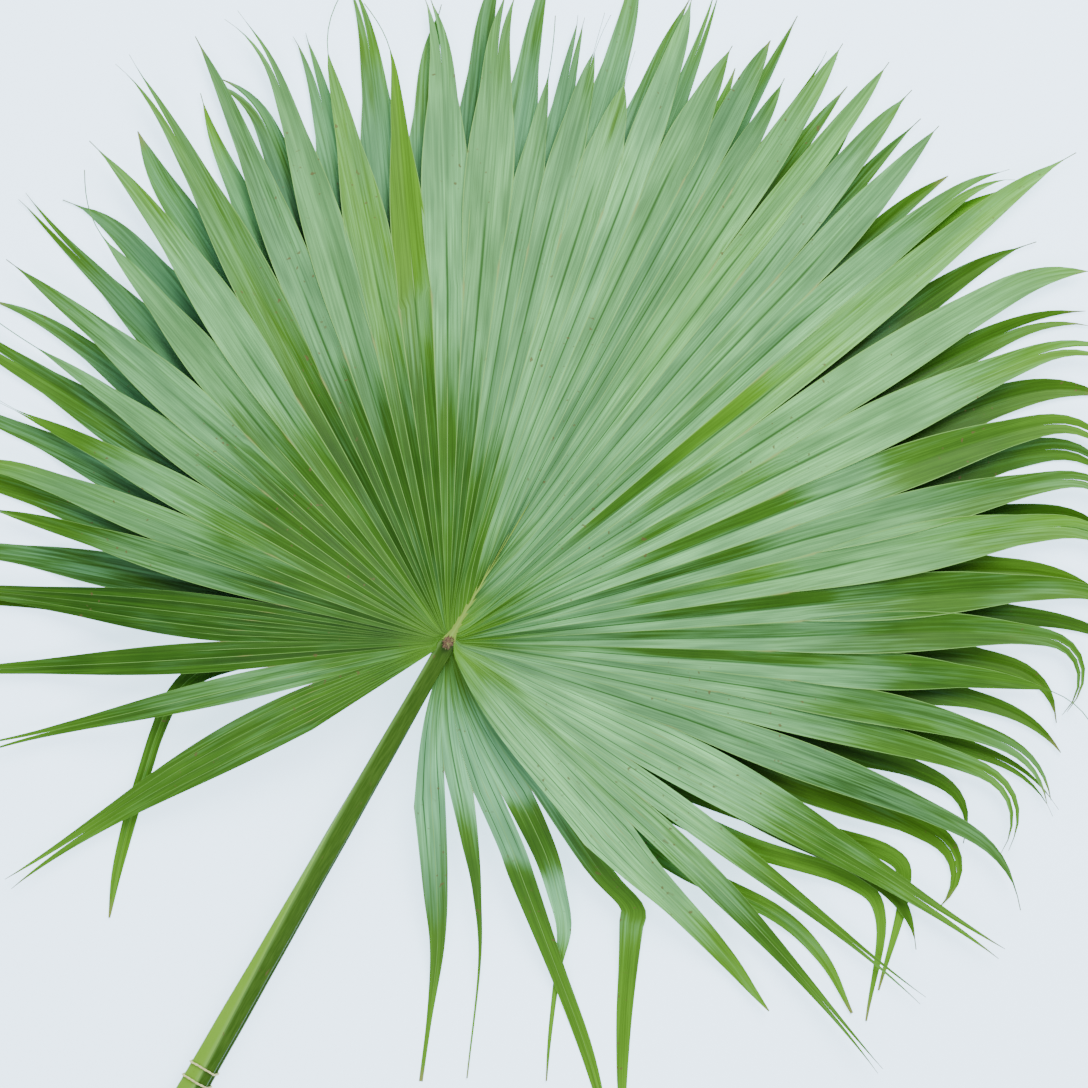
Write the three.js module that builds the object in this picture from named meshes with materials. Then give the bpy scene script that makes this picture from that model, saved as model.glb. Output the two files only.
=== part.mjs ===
// A tied pair of costapalmate fan palm leaves, picked and laid flat, upper side up.
// Millimetres and degrees. +Y runs from the cut stalk ends to the leaf apex, +Z is up.
// Leaf angles are measured at the hub from +Y, positive towards -X (the left lobes).
import * as THREE from 'three';

const RAD = Math.PI / 180;

// Blades
const BLADE_THICKNESS = 1.2;
const BLADE_INNER_RADIUS = 13; // ring left open round the hub for the stalk and hastula
const PLEAT_DEPTH_RATIO = 0.26; // depth of a pleat over its width
const TIP_WIDTH = 3;
const TAPER_POWER = 0.6; // below 1 keeps a segment broad before it narrows
const FUSED_ROWS = 3; // mesh rows from the hub to the split
const FREE_ROWS = 5; // mesh rows from the split to the tip

// How the pair lies: the back leaf is a low dome on the floor and the front leaf rides on it.
const BACK_HUB_HEIGHT = 52;
const LEAF_GAP_AT_HUB = 22;
const LEAF_GAP_AT_EDGE = 4.5;
// [leaf angle, radius at which a blade comes down to the floor]
const FLOOR_RADIUS = [
  [-160, 360], [-120, 400], [-100, 470], [-80, 540], [-40, 580], [0, 580],
  [50, 550], [80, 480], [110, 420], [155, 390],
];

// Stalks (petioles), with the costa that runs on under the blade
const STALK_LENGTH = 620;
const STALK_HUB_SIZE = { width: 17, height: 9 };
const STALK_CUT_SIZE = { width: 28, height: 16 };
const COSTA_LENGTH = 150;
const COSTA_DROP = 2; // keeps the costa under the blade's straight facets
const STALK_CLEARANCE = 0.5; // between the two stalks, and between a stalk and its blade
const BACK_STALK_SHIFT = 3.5; // the back stalk's cut end lies this far to the right

// Hastula: the small crest where a stalk meets its blade
const HASTULA = { radius: 7.5, height: 5, sides: 10 };
const HASTULA_CLEARANCE = 0.3;

// String ties round both stalks
const TIE_POSITIONS = [-493, -509];
const TIE_RADIUS = 1.2;
const TIE_CLEARANCE = 0.4;

// A leaf is a fan of segments between its two margins. Regular segments follow `profile`:
// [leaf angle, segment pitch, split radius, tip radius, tip sweep]. The basal lobes, where several
// ribs share one tip, are listed as [from, to, ribs, split radius at `from`, tip radius, tip angle].
const FRONT_LEAF = {
  rightLobes: [
    [-127, -105, 4, 240, 495, -109],
    [-105, -99, 2, 258, 550, -103.3],
    [-99, -93, 2, 252, 595, -97.3],
    [-93, -81, 4, 215, 640, -89],
  ],
  profile: [
    [-81, 5.9, 235, 660, -7],
    [-70, 4.6, 300, 690, -9],
    [-50, 4.9, 360, 720, -8],
    [-28, 5.5, 370, 770, -4],
    [-14, 3.7, 500, 730, -1],
    [0, 2.7, 515, 700, 0],
    [12, 3.9, 440, 665, 1],
    [26, 5.0, 365, 650, 1],
    [45, 5.8, 310, 650, 2],
    [66, 6.3, 280, 610, 4],
    [86, 6.5, 225, 565, 5],
    [108, 6.8, 168, 545, 5],
  ],
  leftLobes: [
    [108, 120, 4, 168, 540, 114],
    [120, 128, 2, 226, 540, 124],
    [128, 137, 2, 180, 500, 133],
    [137, 154, 5, 150, 505, 149],
  ],
};

const BACK_LEAF = {
  rightLobes: [
    [-160, -151, 2, 150, 470, -154],
    [-151, -143, 2, 150, 450, -148],
    [-143, -130, 3, 160, 500, -133],
    [-130, -121, 2, 165, 480, -127],
    [-121, -112, 2, 180, 500, -118],
    [-112, -103, 2, 230, 600, -106],
    [-103, -91, 2, 250, 600, -94],
  ],
  profile: [
    [-91, 6.0, 255, 610, -6],
    [-60, 5.2, 345, 700, -9],
    [-28, 5.6, 370, 740, -4],
    [0, 4.6, 420, 690, 0],
    [30, 5.4, 350, 640, 2],
    [60, 6.0, 290, 625, 4],
    [90, 6.4, 225, 575, 5],
    [128, 6.6, 190, 510, 4],
  ],
  leftLobes: [],
};

const MATERIALS = {
  frontBlade: new THREE.MeshStandardMaterial({ color: '#8fb48c', roughness: 0.55, metalness: 0 }),
  backBlade: new THREE.MeshStandardMaterial({ color: '#5c9470', roughness: 0.55, metalness: 0 }),
  stalk: new THREE.MeshStandardMaterial({ color: '#5f8f34', roughness: 0.45, metalness: 0 }),
  hastula: new THREE.MeshStandardMaterial({ color: '#6e553c', roughness: 0.8, metalness: 0 }),
  string: new THREE.MeshStandardMaterial({ color: '#d7dc96', roughness: 0.75, metalness: 0 }),
};

// Interpolates every column of a table whose first column is the key.
function lookUp(table, key) {
  const last = table.length - 1;
  if (key <= table[0][0]) return table[0].slice(1);
  if (key >= table[last][0]) return table[last].slice(1);
  const upper = table.findIndex((row) => row[0] > key);
  const [low, high] = [table[upper - 1], table[upper]];
  const share = (key - low[0]) / (high[0] - low[0]);
  return low.slice(1).map((value, column) => value + (high[column + 1] - value) * share);
}

// Share of the way from the hub (0) to where the blade meets the floor (1).
function reach(radius, angle) {
  return Math.min(1, radius / lookUp(FLOOR_RADIUS, angle)[0]);
}

// Height of a blade's underside along its ribs, for the back (level 0) or front (level 1) leaf.
function bladeHeight(radius, angle, level) {
  const fall = 1 - reach(radius, angle) ** 2;
  const gap = LEAF_GAP_AT_EDGE + (LEAF_GAP_AT_HUB - LEAF_GAP_AT_EDGE) * fall;
  return BACK_HUB_HEIGHT * fall + level * gap;
}

// Lists a leaf's segments from the right margin to the left one.
function segmentsOf(leaf) {
  const lobe = ([from, to, ribs, split, tip, tipAngle]) => ({ from, to, ribs, split, tip, tipAngle });
  const regular = [];
  const end = leaf.profile[leaf.profile.length - 1][0];
  for (let from = leaf.profile[0][0]; from < end - 1; ) {
    const [pitch] = lookUp(leaf.profile, from);
    const to = from + 1.6 * pitch > end ? end : from + pitch;
    const [, split] = lookUp(leaf.profile, from);
    const [, , tip, sweep] = lookUp(leaf.profile, (from + to) / 2);
    regular.push({ from, to, ribs: 1, split, tip, tipAngle: (from + to) / 2 + sweep });
    from = to;
  }
  return [...leaf.rightLobes.map(lobe), ...regular, ...leaf.leftLobes.map(lobe)];
}

// One pleated sheet point. Segments are V-shaped: `peak` is 0 on a rib and 1 on the ridges beside it.
function pleatPoint(radius, angle, peak, pleatWidth, level) {
  const depth = PLEAT_DEPTH_RATIO * pleatWidth * Math.sqrt(1 - reach(radius, angle) ** 2);
  return new THREE.Vector3(
    -radius * Math.sin(angle * RAD),
    radius * Math.cos(angle * RAD),
    bladeHeight(radius, angle, level) + peak * depth,
  );
}

// Rows of points for one segment, from the hub ring through the split to the tip.
function segmentRows(segment, nextSplit, level) {
  const { from, to, ribs, split, tip, tipAngle } = segment;
  const columns = 2 * ribs;
  const middle = (from + to) / 2;
  const halfAngle = (to - from) / 2;
  const halfWidth = halfAngle * RAD * (split + nextSplit) / 2;
  const rows = [];
  for (let row = 0; row <= FUSED_ROWS + FREE_ROWS; row++) {
    const fused = Math.min(1, row / FUSED_ROWS);
    const free = Math.max(0, (row - FUSED_ROWS) / FREE_ROWS);
    const taper = Math.max((1 - free) ** TAPER_POWER, TIP_WIDTH / 2 / halfWidth);
    const points = [];
    for (let column = 0; column <= columns; column++) {
      const across = column / columns;
      const lineSplit = split + (nextSplit - split) * across;
      const fusedRadius = BLADE_INNER_RADIUS + (lineSplit - BLADE_INNER_RADIUS) * fused;
      const radius = fusedRadius + (tip - fusedRadius) * free;
      const spread = halfAngle * taper * (free > 0 ? lineSplit / radius : 1);
      const centre = middle + (tipAngle - middle) * free * free;
      const pleatWidth = (spread * 2 * RAD * radius) / ribs;
      const angle = centre + (2 * across - 1) * spread;
      points.push(pleatPoint(radius, angle, 1 - (column % 2), pleatWidth, level));
    }
    rows.push(points);
  }
  return rows;
}

// Closes a sheet of upward-facing triangles into a solid: a raised copy and walls round its outline.
function thicken(points, triangles, thickness) {
  const positions = [];
  for (const lift of [0, thickness]) {
    for (const point of points) positions.push(point.x, point.y, point.z + lift);
  }
  const upper = points.length;
  const edges = new Map();
  const indices = [];
  for (const [a, b, c] of triangles) {
    indices.push(a, c, b, a + upper, b + upper, c + upper);
    for (const [start, end] of [[a, b], [b, c], [c, a]]) {
      if (!edges.delete(`${end},${start}`)) edges.set(`${start},${end}`, [start, end]);
    }
  }
  for (const [start, end] of edges.values()) {
    indices.push(start, end, end + upper, start, end + upper, start + upper);
  }
  const geometry = new THREE.BufferGeometry();
  geometry.setAttribute('position', new THREE.Float32BufferAttribute(positions, 3));
  geometry.setIndex(indices);
  return geometry;
}

// The whole pleated blade as one solid: neighbouring segments share their ridge up to the split.
function bladeGeometry(leaf, level) {
  const segments = segmentsOf(leaf);
  const points = [];
  const triangles = [];
  let sharedColumn = null;
  segments.forEach((segment, index) => {
    const nextSplit = index + 1 < segments.length ? segments[index + 1].split : segment.split;
    const rows = segmentRows(segment, nextSplit, level);
    const ids = rows.map((row, rowIndex) => row.map((point, column) => {
      if (column === 0 && sharedColumn && rowIndex <= FUSED_ROWS) return sharedColumn[rowIndex];
      points.push(point);
      return points.length - 1;
    }));
    for (let row = 0; row + 1 < ids.length; row++) {
      for (let column = 0; column + 1 < ids[row].length; column++) {
        const [a, b] = [ids[row][column], ids[row][column + 1]];
        const [c, d] = [ids[row + 1][column + 1], ids[row + 1][column]];
        triangles.push([a, c, b], [a, d, c]);
      }
    }
    sharedColumn = ids.map((row) => row[row.length - 1]);
  });
  return thicken(points, triangles, BLADE_THICKNESS);
}

// Joins equal rings of points into a closed tube with flat ends. The rings run anticlockwise seen
// from the last one.
function loftGeometry(rings) {
  const sides = rings[0].length;
  const positions = rings.flat().flatMap((point) => [point.x, point.y, point.z]);
  const indices = [];
  for (let ring = 0; ring + 1 < rings.length; ring++) {
    for (let side = 0; side < sides; side++) {
      const a = ring * sides + side;
      const b = ring * sides + (side + 1) % sides;
      indices.push(a, b, b + sides, a, b + sides, a + sides);
    }
  }
  const last = (rings.length - 1) * sides;
  for (let side = 1; side + 1 < sides; side++) {
    indices.push(0, side + 1, side, last, last + side, last + side + 1);
  }
  const geometry = new THREE.BufferGeometry();
  geometry.setAttribute('position', new THREE.Float32BufferAttribute(positions, 3));
  geometry.setIndex(indices);
  return geometry;
}

// Stalk section, anticlockwise seen from the leaf's apex: two upper faces meet in a ridge.
const STALK_SECTION = [
  [0.42, 0.26], [0.5, 0.05], [0.42, -0.25], [0.22, -0.46], [-0.22, -0.46],
  [-0.42, -0.25], [-0.5, 0.05], [-0.42, 0.26], [0.1, 0.5],
];
const SECTION_BOTTOM = 0.46;

// Width, height and centre of a stalk's section at a distance along +Y.
function stalkAt(y, level) {
  const toCut = Math.max(0, -y / STALK_LENGTH);
  const costa = Math.max(0, Math.min(1, y / COSTA_LENGTH));
  const shrink = (1 - costa) ** 1.5 * 0.85 + 0.15;
  const width = shrink * (STALK_HUB_SIZE.width + (STALK_CUT_SIZE.width - STALK_HUB_SIZE.width) * toCut);
  const height = shrink * (STALK_HUB_SIZE.height + (STALK_CUT_SIZE.height - STALK_HUB_SIZE.height) * toCut);
  const drop = STALK_CLEARANCE + COSTA_DROP * Math.min(1, Math.max(0, y) / 30);
  const bladeUnderside = bladeHeight(Math.max(0, y), 0, level) - drop;
  const cutTop = level === 0
    ? STALK_CUT_SIZE.height * (0.5 + SECTION_BOTTOM)
    : STALK_CUT_SIZE.height * 2 * (0.5 + SECTION_BOTTOM) + STALK_CLEARANCE;
  const top = bladeUnderside + (cutTop - bladeUnderside) * Math.sqrt(toCut) * (0.4 + 0.6 * toCut);
  const shift = level === 0 ? BACK_STALK_SHIFT * toCut : 0;
  return { width, height, centreX: shift, centreZ: top - height / 2 };
}

function stalkRing(y, level) {
  const { width, height, centreX, centreZ } = stalkAt(y, level);
  return STALK_SECTION.map(([x, z]) => (
    new THREE.Vector3(centreX + x * width, y, centreZ + z * height)
  ));
}

function stalkGeometry(level) {
  const stations = [-STALK_LENGTH, -500, -380, -260, -150, -70, -25, 0, 15, 40, 80, COSTA_LENGTH];
  return loftGeometry(stations.map((y) => stalkRing(y, level)));
}

// A low ragged crest that sits on the end of a stalk.
function hastulaGeometry(level) {
  const { radius, height, sides } = HASTULA;
  const floor = bladeHeight(0, 0, level) - STALK_CLEARANCE + HASTULA_CLEARANCE;
  const ring = (size, z) => Array.from({ length: sides }, (_, side) => {
    const angle = (side / sides) * 2 * Math.PI;
    const ragged = size * (side % 2 ? 0.86 : 1);
    return new THREE.Vector3(ragged * Math.cos(angle), ragged * Math.sin(angle), floor + z);
  });
  return loftGeometry([ring(radius, 0), ring(radius * 0.85, height * 0.6), ring(radius * 0.4, height)]);
}

// Convex outline of flat points, anticlockwise (Andrew's monotone chain).
function convexOutline(points) {
  const sorted = [...points].sort((p, q) => p.x - q.x || p.y - q.y);
  const chain = (list) => {
    const out = [];
    for (const point of list) {
      while (out.length > 1) {
        const [p, q] = out.slice(-2);
        if (q.clone().sub(p).cross(point.clone().sub(q)) > 0) break;
        out.pop();
      }
      out.push(point);
    }
    return out.slice(0, -1);
  };
  return [...chain(sorted), ...chain(sorted.reverse())];
}

// A string drawn tight round both stalks, following their common outline.
function tieGeometry(y) {
  const flat = [0, 1].flatMap((level) => stalkRing(y, level).map((p) => new THREE.Vector2(p.x, p.z)));
  const outline = convexOutline(flat);
  const offset = TIE_CLEARANCE + TIE_RADIUS;
  const path = outline.flatMap((point, index) => {
    const before = outline[(index + outline.length - 1) % outline.length];
    const after = outline[(index + 1) % outline.length];
    return [point.clone().sub(before), after.clone().sub(point)].map((edge) => {
      const outward = new THREE.Vector2(edge.y, -edge.x).normalize();
      return { centre: point.clone().addScaledVector(outward, offset), outward };
    });
  });
  const sides = 6;
  const rings = path.map(({ centre, outward }) => Array.from({ length: sides }, (_, side) => {
    const turn = (side / sides) * 2 * Math.PI;
    const out = TIE_RADIUS * Math.cos(turn);
    return new THREE.Vector3(
      centre.x + out * outward.x,
      y + TIE_RADIUS * Math.sin(turn),
      centre.y + out * outward.y,
    );
  }));
  const positions = rings.flat().flatMap((point) => [point.x, point.y, point.z]);
  const indices = [];
  rings.forEach((ring, index) => {
    const next = (index + 1) % rings.length;
    for (let side = 0; side < sides; side++) {
      const [a, b] = [index * sides + side, index * sides + (side + 1) % sides];
      const [c, d] = [next * sides + (side + 1) % sides, next * sides + side];
      indices.push(a, b, c, a, c, d);
    }
  });
  const geometry = new THREE.BufferGeometry();
  geometry.setAttribute('position', new THREE.Float32BufferAttribute(positions, 3));
  geometry.setIndex(indices);
  return geometry;
}

function namedMesh(name, geometry, material) {
  const mesh = new THREE.Mesh(geometry, material);
  mesh.name = name;
  return mesh;
}

const bundle = new THREE.Group();
bundle.add(
  namedMesh('front_blade', bladeGeometry(FRONT_LEAF, 1), MATERIALS.frontBlade),
  namedMesh('back_blade', bladeGeometry(BACK_LEAF, 0), MATERIALS.backBlade),
  namedMesh('front_petiole', stalkGeometry(1), MATERIALS.stalk),
  namedMesh('back_petiole', stalkGeometry(0), MATERIALS.stalk),
  namedMesh('front_hastula', hastulaGeometry(1), MATERIALS.hastula),
  namedMesh('back_hastula', hastulaGeometry(0), MATERIALS.hastula),
  ...TIE_POSITIONS.map((y, index) => namedMesh(`tie_${index + 1}`, tieGeometry(y), MATERIALS.string)),
);

// The origin is the centre of the bounding box's lowest face.
const box = new THREE.Box3().setFromObject(bundle);
const centre = box.getCenter(new THREE.Vector3());
bundle.children.forEach((mesh) => mesh.geometry.translate(-centre.x, -centre.y, -box.min.z));

export default bundle;
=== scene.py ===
"""Looks of a tied pair of fan palm leaves lying flat, upper side up.

Each blade is one pleated sheet on a low dome, rebuilt here more finely than in the CAD model.
Blades, stalks, crests and ties are worked out in millimetres and degrees from the hub, where stalk
and blade meet. The floor, the lights and the camera are in metres. A leaf angle is measured at the
hub from +Y, where the leaf's apex points, and is positive towards -X, the left. A pleat is V-shaped:
its rib lies low and the ridges on both sides are high, and the blade is split along ridges.
"""

import math
import random

import bpy
import numpy as np
from mathutils import Matrix, Vector


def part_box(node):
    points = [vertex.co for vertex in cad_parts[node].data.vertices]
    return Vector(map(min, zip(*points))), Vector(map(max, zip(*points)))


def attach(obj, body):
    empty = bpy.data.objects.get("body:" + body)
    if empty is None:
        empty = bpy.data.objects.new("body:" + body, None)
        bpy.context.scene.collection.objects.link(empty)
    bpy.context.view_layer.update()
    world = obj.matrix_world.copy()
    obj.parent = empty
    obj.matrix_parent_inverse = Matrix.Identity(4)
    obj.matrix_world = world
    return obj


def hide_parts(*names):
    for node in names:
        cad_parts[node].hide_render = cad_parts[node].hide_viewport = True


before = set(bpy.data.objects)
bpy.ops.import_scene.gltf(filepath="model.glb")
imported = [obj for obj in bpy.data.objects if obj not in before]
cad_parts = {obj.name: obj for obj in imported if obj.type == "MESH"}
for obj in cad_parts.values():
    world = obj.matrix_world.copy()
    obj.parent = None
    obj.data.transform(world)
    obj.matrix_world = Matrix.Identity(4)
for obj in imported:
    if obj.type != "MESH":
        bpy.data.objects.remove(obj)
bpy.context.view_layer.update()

MM = 0.001
rng = random.Random(11)

# ------------------------ places taken from the CAD
CREST_LOW, CREST_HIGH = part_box("front_hastula")
HUB = Vector(((CREST_LOW.x + CREST_HIGH.x) / 2, (CREST_LOW.y + CREST_HIGH.y) / 2, 0.0))
HUB_HEIGHTS = [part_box("back_hastula")[0].z / MM, CREST_LOW.z / MM]

# ------------------------ blade tables
INNER_RADIUS = 7.0
SHEET_THICKNESS = 0.5
THREAD_WIDTH = 1.0  # of the narrowest ends
FLOOR_CLEARANCE = 0.2
LEAF_GAP_AT_EDGE = 9.0  # height between the two blades where they come down to the floor
COSTA_REACH = 100.0  # along which the middle line of a blade is grown onto the costa
COSTA_SPREAD = 12.0  # leaf angle at which that length has fallen to about a third
MARGIN_FLARE = 11.0  # degrees by which the right margin turns towards the stalk near the hub
OUTER_FOLD, HUB_FOLD = 0.2, 0.28  # depth of a pleat over its width, and what is added at the hub
HUB_FOLD_RADIUS = 130
FREE_FOLD = 0.12  # usual depth of a pleat over its width, beyond the splits
FIBRE_SHIFT = 137  # sets one segment's veins apart from the next one's
SPLIT_MARK_RADIUS = 6  # of the dry spot at a split
# Rows of points along a segment: up to its splits, beyond them, and in a forked end.
FUSED_ROWS = 24
FREE_ROWS = 30
PRONG_ROWS = 8
# Half a pleat from its ridge to its rib: [share of the way, height over the pleat's depth].
HALF_PLEAT = [(0.0, 0.97), (0.13, 0.86), (0.5, 0.5), (0.87, 0.13)]

# [leaf angle, radius at which a blade comes down to the floor]
FLOOR_RADIUS = [
    (-160, 360), (-120, 400), (-100, 470), (-80, 540), (-40, 580), (0, 580),
    (50, 550), (80, 480), (110, 420), (155, 390),
]

# Front leaf, one row for each segment: [first edge, split radius there, tip radius, bend].
# A segment runs to the next row's first edge, and the last row only closes the one before it.
# Bend is how far the end of a segment turns from straight.
FRONT_SEGMENTS = [
    (-81.0, 235, 640, -22), (-75.1, 252, 625, -26), (-70.6, 270, 650, -34), (-66.5, 345, 665, -22),
    (-61.7, 320, 690, -30), (-56.7, 352, 690, -18), (-51.8, 340, 700, -26), (-46.5, 375, 715, -16),
    (-41.6, 360, 705, -24), (-36.0, 365, 740, -14), (-30.3, 375, 770, -10), (-24.8, 365, 790, -6),
    (-19.6, 415, 740, -8), (-16.0, 512, 720, 2), (-12.1, 490, 737, -2), (-8.6, 470, 712, 3),
    (-5.2, 460, 705, 0), (-2.1, 535, 660, 2), (0.4, 512, 668, -2), (3.0, 520, 672, 0),
    (6.7, 475, 680, 3), (10.3, 455, 610, 4), (14.6, 420, 645, 2), (18.6, 400, 628, -2),
    (22.4, 377, 640, 2), (27.6, 355, 655, 3), (32.8, 345, 640, 0), (38.5, 332, 655, 4),
    (44.0, 307, 652, 3), (49.9, 302, 642, 6), (55.7, 285, 650, 5), (62.0, 282, 625, 9),
    (68.3, 255, 600, 6), (74.5, 285, 575, 8), (81.0, 235, 590, 10), (87.5, 215, 560, 12),
    (94.0, 195, 555, 10), (101.0, 180, 545, 12), (107.7, 167, 0, 0),
]

# Lobes, where several ribs share one tip:
# [first edge, last edge, ribs, split radius at the first edge, tip radius, tip angle,
# bloom with its painted sheen]
FRONT_RIGHT_LOBES = [
    (-105, -99, 2, 258, 613, -105.0, 0.6),
    (-99, -93, 2, 252, 600, -97.3, 0.8),
    (-93, -81, 4, 215, 640, -89.6, 0.9),
]
FRONT_LEFT_LOBES = [
    (107.7, 120, 4, 167, 540, 114.0, 0.15),
    (120, 128, 2, 227, 540, 123.5, 0.1),
    (128, 137, 2, 180, 500, 133.0, 0.45),
    (137, 153, 5, 140, 508, 148.9, 0.15),
]
LAST_FRONT_SPLIT = 160  # radius, at the last edge of the last lobe
# Back leaf: [leaf angle, split radius, tip radius, bend]. Its single segments lie behind the front
# leaf's splits, and the outermost one on either side runs between the edges given below.
BACK_PROFILE = [
    (-91, 255, 600, -30), (-60, 335, 680, -34), (-28, 370, 725, -12), (0, 415, 680, 0),
    (30, 350, 655, 2), (60, 290, 632, 6), (90, 225, 575, 10), (118, 190, 520, 14),
]
BACK_OUTER_EDGES = (-91, -84.5), (111, 118)
# Hanging segments, each with a path of its own: first and last edge, ribs, split radius at the
# first edge, and the path as [leaf angle, radius, width, bloom with its painted sheen].
FRONT_RIGHT_STRIP = (-116, -105, 4, 244, [
    (-110.5, 252, 44, 0.9), (-110.0, 300, 34, 0.85), (-109.3, 345, 26, 0.7), (-109.0, 390, 22, 0.4),
    (-109.0, 435, 16, 0.15), (-109.2, 470, 8, 0.05), (-109.3, 494, 1.5, 0.0),
])
BACK_RIGHT_STRIPS = [
    (-160, -148, 2, 170, [
        (-153.7, 170, 28, 0.9), (-152.3, 253, 24, 0.35), (-152.1, 312, 15, 0.1),
        (-153.1, 382, 6, 0.05), (-153.8, 448, 4, 0.0),
    ]),
    (-148, -138, 1, 129, [
        (-142.2, 169, 21, 0.9), (-143, 217, 15, 0.2), (-143.5, 259, 8, 0.05),
        (-144.7, 327, 3, 0.0), (-147.8, 444, 1.5, 0.0),
    ]),
    (-138, -128.8, 2, 153, [
        (-133.3, 157, 26, 0.9), (-132.2, 215, 25.5, 0.8), (-132.4, 251, 25, 0.1),
        (-131.9, 348, 17, 0.0), (-131.6, 435, 14, 0.05), (-132.0, 500, 8, 0.0), (-132.6, 560, 2, 0.0),
    ]),
    (-128.8, -119, 2, 161, [
        (-123.9, 169, 30, 0.8), (-124.5, 200, 28, 0.0), (-125.2, 240, 24, 0.0),
        (-126.6, 275, 20, 0.9), (-128.3, 313, 15, 0.8), (-131.9, 351, 7, 0.1),
        (-135.8, 412, 4, 0.0), (-137.7, 457, 1.5, 0.0),
    ]),
    (-119, -112, 1, 170, [
        (-115.6, 180, 22, 0.7), (-116.4, 273, 21, 0.1), (-115.4, 322, 20, 0.0),
        (-117.6, 341, 20.5, 0.4), (-121.5, 377, 18, 0.0), (-125.7, 427, 15, 0.0),
        (-129.2, 490, 9, 0.0), (-130.5, 530, 2, 0.0),
    ]),
    (-112, -103, 2, 200, [
        (-107.5, 215, 34, 0.5), (-104, 330, 26, 0.2), (-100, 429, 18, 0.15),
        (-100.5, 496, 12, 0.1), (-102.9, 555, 3, 0.0),
    ]),
    (-103, -97, 1, 225, [
        (-100, 240, 26, 0.3), (-95, 360, 24, 0.1), (-91, 470, 18, 0.0),
        (-93, 520, 11, 0.0), (-102.5, 571, 2, 0.0),
    ]),
    (-97, -91, 1, 235, [
        (-94, 250, 26, 0.2), (-89, 380, 24, 0.0), (-86, 490, 18, 0.0),
        (-89, 525, 12, 0.0), (-99.3, 560, 2, 0.0),
    ]),
]
BACK_LEFT_STRIPS = [
    (118, 127, 2, 190, [
        (122.5, 195, 30, 0.1), (126.5, 251, 24, 0.0), (131.5, 285, 20, 0.0), (137.5, 310, 16, 0.0),
        (143.0, 334, 15, 0.1), (149.6, 373, 14, 0.0), (155, 412, 10, 0.0), (159.2, 445, 2, 0.0),
    ]),
]
LAST_BACK_SPLIT = 190  # radius, at the last edge of the strip above

# How deep the pleats are: [leaf angle, factor]
FOLD_STRENGTH = [
    (-160, 0.3), (-117, 0.15), (-90, 0.3), (-74, 0.5), (-58, 1.3), (0, 1.3), (20, 0.6), (100, 0.6),
    (150, 0.6),
]
# Segments of the front leaf that turn yellow or lime: [leaf angle, warmth, bloom and painted
# sheen left, width share]
TINTED = [
    (41.3, 0.8, 0.55, 1.0), (35.6, 0.6, 0.0, 0.62), (-22, 0.5, 0.7, 1.0), (-6.9, 0.45, 0.8, 1.0),
    (58, 0.5, 0.6, 1.0),
]

# The pale waxy skin, partly real wax bloom and partly a painted sheen of the sky:
# [leaf angle, radius where it begins, strength, share lost in the free parts].
FRONT_BLOOM_AND_SHEEN = [
    (-90, 40, 0.95, 1.0), (-60, 70, 0.85, 1.3), (-35, 80, 0.85, 1.0), (-12, 60, 0.8, 0.4),
    (5, 110, 0.8, 0.4), (18, 200, 0.85, 0.5), (30, 260, 0.95, 0.5), (60, 300, 0.9, 0.7),
    (85, 270, 0.75, 0.9), (110, 190, 0.45, 1.0),
]
BACK_BLOOM_AND_SHEEN = [
    (-91, 60, 0.3, 1.0), (-60, 60, 0.15, 1.0), (-25, 60, 0.25, 1.0), (5, 60, 0.7, 0.6),
    (40, 120, 0.8, 0.6), (90, 160, 0.6, 0.8), (118, 160, 0.2, 1.0),
]
# Bloom in the names here and below is the pale skin: partly real wax, partly a painted sheen of the
# sky.
LOBE_BLOOM_AND_SHEEN_START = 60  # radius where the bloom of lobes and hanging segments begins
BLOOM_AND_SHEEN_RISE = 95  # half of the stretch over which the bloom sets in


# ------------------------ small helpers
def look_up(table, key):
    """Every other column of a table, read between its rows at a value of the first column."""
    keys = [row[0] for row in table]
    return [float(np.interp(key, keys, [row[i] for row in table])) for i in range(1, len(table[0]))]


def smooth(low, high, value):
    """0 below low and 1 above high, with a soft rise between them."""
    share = np.clip((np.asarray(value, float) - low) / (high - low), 0.0, 1.0)
    return share * share * (3 - 2 * share)


def polar(radius, angle):
    """A point in the leaf plane, in mm from the hub."""
    turn = np.radians(angle)
    return np.stack([-radius * np.sin(turn), radius * np.cos(turn)], axis=-1)


def ripple(points):
    """A slow, low unevenness of a blade that dies out at the hub."""
    x, y = points[..., 0], points[..., 1]
    wave = np.sin(x / 71 + y / 113) + np.sin(y / 59 - x / 97 + 2) + 0.6 * np.sin(x / 31 + y / 43 + 1)
    return wave * smooth(40, 300, np.hypot(x, y))


def floor_radius(angle):
    """Radius at which a blade comes down to the floor, for many leaf angles at once."""
    return np.interp(angle, [row[0] for row in FLOOR_RADIUS], [row[1] for row in FLOOR_RADIUS])


def dome(points, level):
    """Height of a blade's ribs: level 0 is the back leaf, level 1 the front leaf on top of it."""
    radius = np.hypot(points[..., 0], points[..., 1])
    angle = np.degrees(np.arctan2(-points[..., 0], points[..., 1]))
    reach = np.minimum(1.0, radius / floor_radius(angle))
    fall = (1 - reach**2) ** 1.15
    gap = LEAF_GAP_AT_EDGE + (HUB_HEIGHTS[1] - HUB_HEIGHTS[0] - LEAF_GAP_AT_EDGE) * fall
    return HUB_HEIGHTS[0] * fall + level * gap


def costa_reach(angle):
    """How far along the costa a line of the blade is grown onto it."""
    return COSTA_REACH * math.exp(-((abs(angle) / COSTA_SPREAD) ** 1.5))


def leaving_radius(angle):
    """Radius at which a line of the blade leaves the hub or the costa."""
    return max(INNER_RADIUS, 0.92 * costa_reach(angle))


def costa_share(radius, angle):
    """How far a line has opened from the costa: near 0 where it leaves, 1 where it runs straight."""
    leaving = np.clip((radius - leaving_radius(angle)) / (1.6 * costa_reach(angle) + 6), 0, 1)
    return 0.1 + 0.9 * (1 - (1 - leaving) ** 2)


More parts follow.
